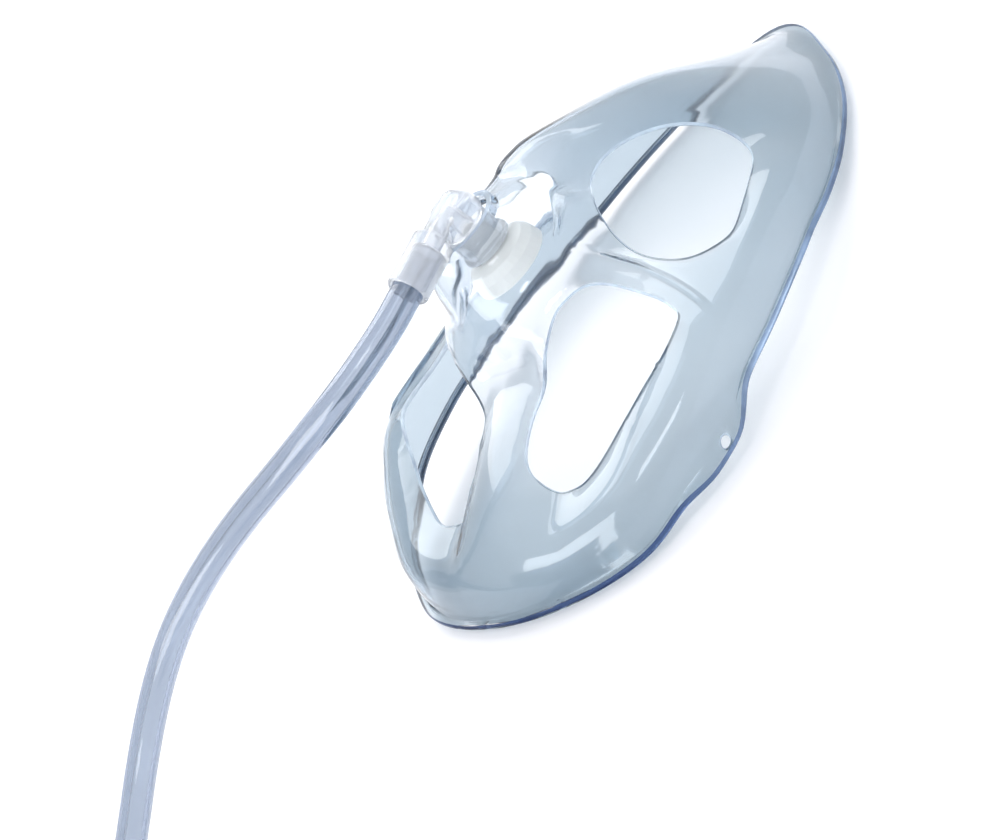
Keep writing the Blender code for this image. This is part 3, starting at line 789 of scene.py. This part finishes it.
def add_tube(finish):
    """A hollow tube with a star-shaped lumen, swept along the path."""
    path = tube_path()
    bm = bmesh.new()
    around = 36
    side = Vector((0, 0, 1))
    rings = []
    for k, p in enumerate(path):
        ahead = path[min(k + 1, len(path) - 1)] - path[max(k - 1, 0)]
        ahead.normalize()
        side = (side - ahead * side.dot(ahead)).normalized()
        other = ahead.cross(side)
        ring = []
        for lumen in (False, True):
            for j in range(around):
                t = 2 * math.pi * j / around
                r = LUMEN_RADIUS + LUMEN_RIPPLE * math.cos(6 * t) if lumen else TUBE_RADIUS
                ring.append(bm.verts.new(p + (side * math.cos(t) + other * math.sin(t)) * r))
        rings.append(ring)
    for a, b in zip(rings, rings[1:]):
        for first in (0, around):
            for j in range(around):
                n = (j + 1) % around
                bm.faces.new((a[first + j], a[first + n], b[first + n], b[first + j]))
    for ring in (rings[0], rings[-1]):
        for j in range(around):
            n = (j + 1) % around
            bm.faces.new((ring[j], ring[n], ring[around + n], ring[around + j]))
    tube = add_object("clear_tube", bm, finish)
    return tube, [metres(p) for p in path]


# The elbow
def turned(profile, steps=72):
    """A solid turned round Z from a closed outline of radius and height pairs."""
    bm = bmesh.new()
    ring = [bm.verts.new((r, 0, z)) for r, z in profile]
    edges = [bm.edges.new((ring[k - 1], ring[k])) for k in range(len(ring))]
    bmesh.ops.spin(
        bm, geom=ring + edges, cent=(0, 0, 0), axis=(0, 0, 1), angle=2 * math.pi,
        steps=steps, use_merge=True,
    )
    bmesh.ops.remove_doubles(bm, verts=bm.verts, dist=1e-5)
    bmesh.ops.dissolve_degenerate(bm, edges=bm.edges, dist=1e-5)
    bmesh.ops.recalc_face_normals(bm, faces=bm.faces)
    return bm


def shaper(name, profile, turn):
    """A turned solid in millimetres, only for shaping the elbow."""
    bm = turned(profile)
    bmesh.ops.transform(bm, matrix=turn, verts=bm.verts)
    mesh = bpy.data.meshes.new(name)
    bm.to_mesh(mesh)
    bm.free()
    made = bpy.data.objects.new(name, mesh)
    bpy.context.scene.collection.objects.link(made)
    return made


def add_elbow(finish):
    """The CAD's elbow, joined and drilled the same way, then softened as a moulding is."""
    bottom = COLLAR_TOP - SPIGOT_LENGTH
    spigot = COLLAR_RADIUS - WALL - CLEAR
    lip = spigot + SNAP_LIP
    rest = COLLAR_TOP + CLEAR
    top = SOCKET_AXIS + PASSAGE_RADIUS
    barrel = [
        (0, bottom), (spigot, bottom), (lip, bottom + 0.5), (lip, bottom + 0.9),
        (spigot, bottom + 1.3), (spigot, rest), (BARREL_RADIUS, rest), (BARREL_RADIUS, SOCKET_AXIS - 1.5),
        (0.97 * BARREL_RADIUS, SOCKET_AXIS - 0.4), (0.88 * BARREL_RADIUS, SOCKET_AXIS + 0.6),
        (0.74 * BARREL_RADIUS, top - 1.3), (0.5 * BARREL_RADIUS, top - 0.6), (0, top - 0.3),
    ]
    wide = TUBE_RADIUS + CLEAR + SOCKET_WALL
    start = SOCKET_LENGTH - TUBE_GRIP - 2.6
    socket = [
        (0, -4.6), (0.35 * PASSAGE_RADIUS, -4.5), (0.65 * PASSAGE_RADIUS, -4.1),
        (0.88 * PASSAGE_RADIUS, -3.5), (PASSAGE_RADIUS, -2.4), (PASSAGE_RADIUS, start - 1.0),
        (wide, start), (wide, SOCKET_LENGTH - 0.4), (wide - 0.4, SOCKET_LENGTH), (0, SOCKET_LENGTH),
    ]
    bore = TUBE_RADIUS + CLEAR
    grip = SOCKET_LENGTH - TUBE_GRIP - CLEAR
    drilled = [
        (0, -0.5), (GAS_BORE_RADIUS, -0.5), (GAS_BORE_RADIUS, grip), (bore, grip),
        (bore, SOCKET_LENGTH + 5), (0, SOCKET_LENGTH + 5),
    ]
    neck = spigot - ELBOW_WALL
    neck_end = NECK_TOP + CLEAR
    upright = [
        (0, bottom - 5), (neck, bottom - 5), (neck, neck_end), (GAS_BORE_RADIUS, neck_end),
        (GAS_BORE_RADIUS, SOCKET_AXIS), (0, SOCKET_AXIS),
    ]
    lying = Matrix.Translation((0, 0, SOCKET_AXIS)) @ Matrix.Rotation(math.radians(-SWIVEL_TURN), 4, "Z")
    lying = lying @ Matrix.Rotation(math.radians(90), 4, "X")
    body = shaper("elbow_barrel", barrel, Matrix())
    others = (
        ("UNION", shaper("elbow_socket", socket, lying)),
        ("DIFFERENCE", shaper("elbow_tube_bore", drilled, lying)),
        ("DIFFERENCE", shaper("elbow_neck_bore", upright, Matrix())),
    )
    for operation, other in others:
        step = body.modifiers.new(other.name, "BOOLEAN")
        step.operation = operation
        step.solver = "EXACT"
        step.object = other
    soften = body.modifiers.new("voxels", "REMESH")
    soften.mode = "VOXEL"
    soften.voxel_size = 0.17
    even = body.modifiers.new("even", "SMOOTH")
    even.iterations = 6
    graph = bpy.context.evaluated_depsgraph_get()
    bm = bmesh.new()
    bm.from_object(body, graph)
    for made in (body, *(other for _, other in others)):
        bpy.data.objects.remove(made, do_unlink=True)
    return add_object("clear_elbow", bm, finish)


# Light and floor
def add_floor():
    """A plain pale floor, just below the rim."""
    bm = bmesh.new()
    bmesh.ops.create_grid(bm, x_segments=1, y_segments=1, size=3.0)
    mesh = bpy.data.meshes.new("floor")
    bm.to_mesh(mesh)
    bm.free()
    made, tree, shader = new_material("floor_white")
    shader.inputs["Base Color"].default_value = (0.93, 0.93, 0.95, 1)
    shader.inputs["Roughness"].default_value = 0.7
    floor = link("floor", mesh, made)
    floor.location.z = -0.0002


def area_light(name, place, target, size, power, colour=(1, 1, 1)):
    """A soft rectangular lamp that faces its target."""
    data = bpy.data.lights.new(name, "AREA")
    data.shape = "RECTANGLE"
    data.size, data.size_y = size
    data.energy = power
    data.color = colour
    light = bpy.data.objects.new(name, data)
    light.location = place
    light.rotation_euler = (Vector(target) - Vector(place)).to_track_quat("-Z", "Y").to_euler()
    bpy.context.scene.collection.objects.link(light)


def add_world():
    """Soft light from all round, and a white background."""
    world = bpy.data.worlds.new("world")
    bpy.context.scene.world = world
    world.use_nodes = True
    tree = world.node_tree
    sky = tree.nodes["Background"]
    sky.inputs["Strength"].default_value = 0.98
    place = tree.nodes.new("ShaderNodeTexCoord")
    split = tree.nodes.new("ShaderNodeSeparateXYZ")
    tree.links.new(place.outputs["Generated"], split.inputs["Vector"])
    fade = tree.nodes.new("ShaderNodeValToRGB")
    fade.color_ramp.elements[0].position = 0.0
    fade.color_ramp.elements[0].color = (0.60, 0.66, 0.82, 1)
    fade.color_ramp.elements[1].position = 0.6
    fade.color_ramp.elements[1].color = (0.97, 0.98, 1.0, 1)
    tree.links.new(split.outputs["Z"], fade.inputs["Fac"])
    tree.links.new(fade.outputs["Color"], sky.inputs["Color"])
    white = tree.nodes.new("ShaderNodeBackground")
    white.inputs["Color"].default_value = (1, 1, 1, 1)
    white.inputs["Strength"].default_value = 1.0
    path = tree.nodes.new("ShaderNodeLightPath")
    mix = tree.nodes.new("ShaderNodeMixShader")
    # glossy and clear surfaces show the same white background as the camera
    seen = path.outputs["Is Camera Ray"]
    for ray in ("Is Glossy Ray", "Is Transmission Ray"):
        either = tree.nodes.new("ShaderNodeMath")
        either.operation = "MAXIMUM"
        tree.links.new(seen, either.inputs[0])
        tree.links.new(path.outputs[ray], either.inputs[1])
        seen = either.outputs["Value"]
    tree.links.new(seen, mix.inputs["Fac"])
    tree.links.new(sky.outputs["Background"], mix.inputs[1])
    tree.links.new(white.outputs["Background"], mix.inputs[2])
    tree.links.new(mix.outputs["Shader"], tree.nodes["World Output"].inputs["Surface"])


bpy.context.scene.view_settings.view_transform = "Standard"
add_camera()
add_world()
add_floor()
area_light("key", (-0.55, 0.55, 0.86), (0, 0, 0.02), (1.2, 0.8), 8.0, (1, 0.99, 0.97))
area_light("chin_side", (-0.3, -1.0, 0.32), (0, 0, 0.02), (0.7, 0.7), 7.0)
area_light("side", (0.44, -0.58, 0.85), (0, 0, 0.02), (0.3, 0.22), 1.4)

# the vinyl's near-white colour towards the hub is a painted sheen; the cheeks' colour is its plain tint
vinyl = clear_plastic(
    "blue_vinyl", (0.94, 0.95, 0.96), 0.08, 1.12, (0.30, 0.48, 0.64), 110, coat=0.8,
    cheeks=(0.55, 0.62, 0.665),
)
elbow_plastic = clear_plastic(
    "elbow_plastic", (0.93, 0.955, 0.99), 0.16, 1.25, (0.70, 0.78, 0.90), 8, clear=0.74, coat=0.6,
)
tube_vinyl = clear_plastic("tube_vinyl", (0.68, 0.71, 0.745), 0.1, 1.25, (0.15, 0.30, 0.55), 200, coat=0.6)
soft_vinyl = clear_plastic("connector_soft_vinyl", (0.85, 0.92, 0.96), 0.25, 1.45, (0.5, 0.7, 0.85), 120)
cream = satin_plastic("cream_plastic", (0.98, 0.97, 0.93), 0.3, 0.0)
tie_plastic = satin_plastic("tie_plastic", (0.86, 0.87, 0.88), 0.45, 0.2)

cut_edge = edge_plastic("window_cut_vinyl", (0.62, 0.72, 0.88), 0.22)
rim_edge = edge_plastic("rim_edge_vinyl", (0.24, 0.34, 0.52), 0.18, chin=(0.04, 0.07, 0.18))
shell = add_shell(vinyl, cut_edge, rim_edge)
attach(shell, "mask")
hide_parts("mask_shell")

tube, path = add_tube(tube_vinyl)
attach(tube, "swivel")
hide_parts("oxygen_tube", "tube_coil", "tube_tail")

elbow = add_elbow(elbow_plastic)
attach(elbow, "swivel")
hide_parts("swivel_elbow")

for name, finish in (
    ("diffuser_cup", cream), ("diffuser_pin", cream),
    ("coil_tie", tie_plastic), ("tube_connector", soft_vinyl),
):
    node = bpy.data.objects[name]
    for slot in node.material_slots:
        slot.material = finish
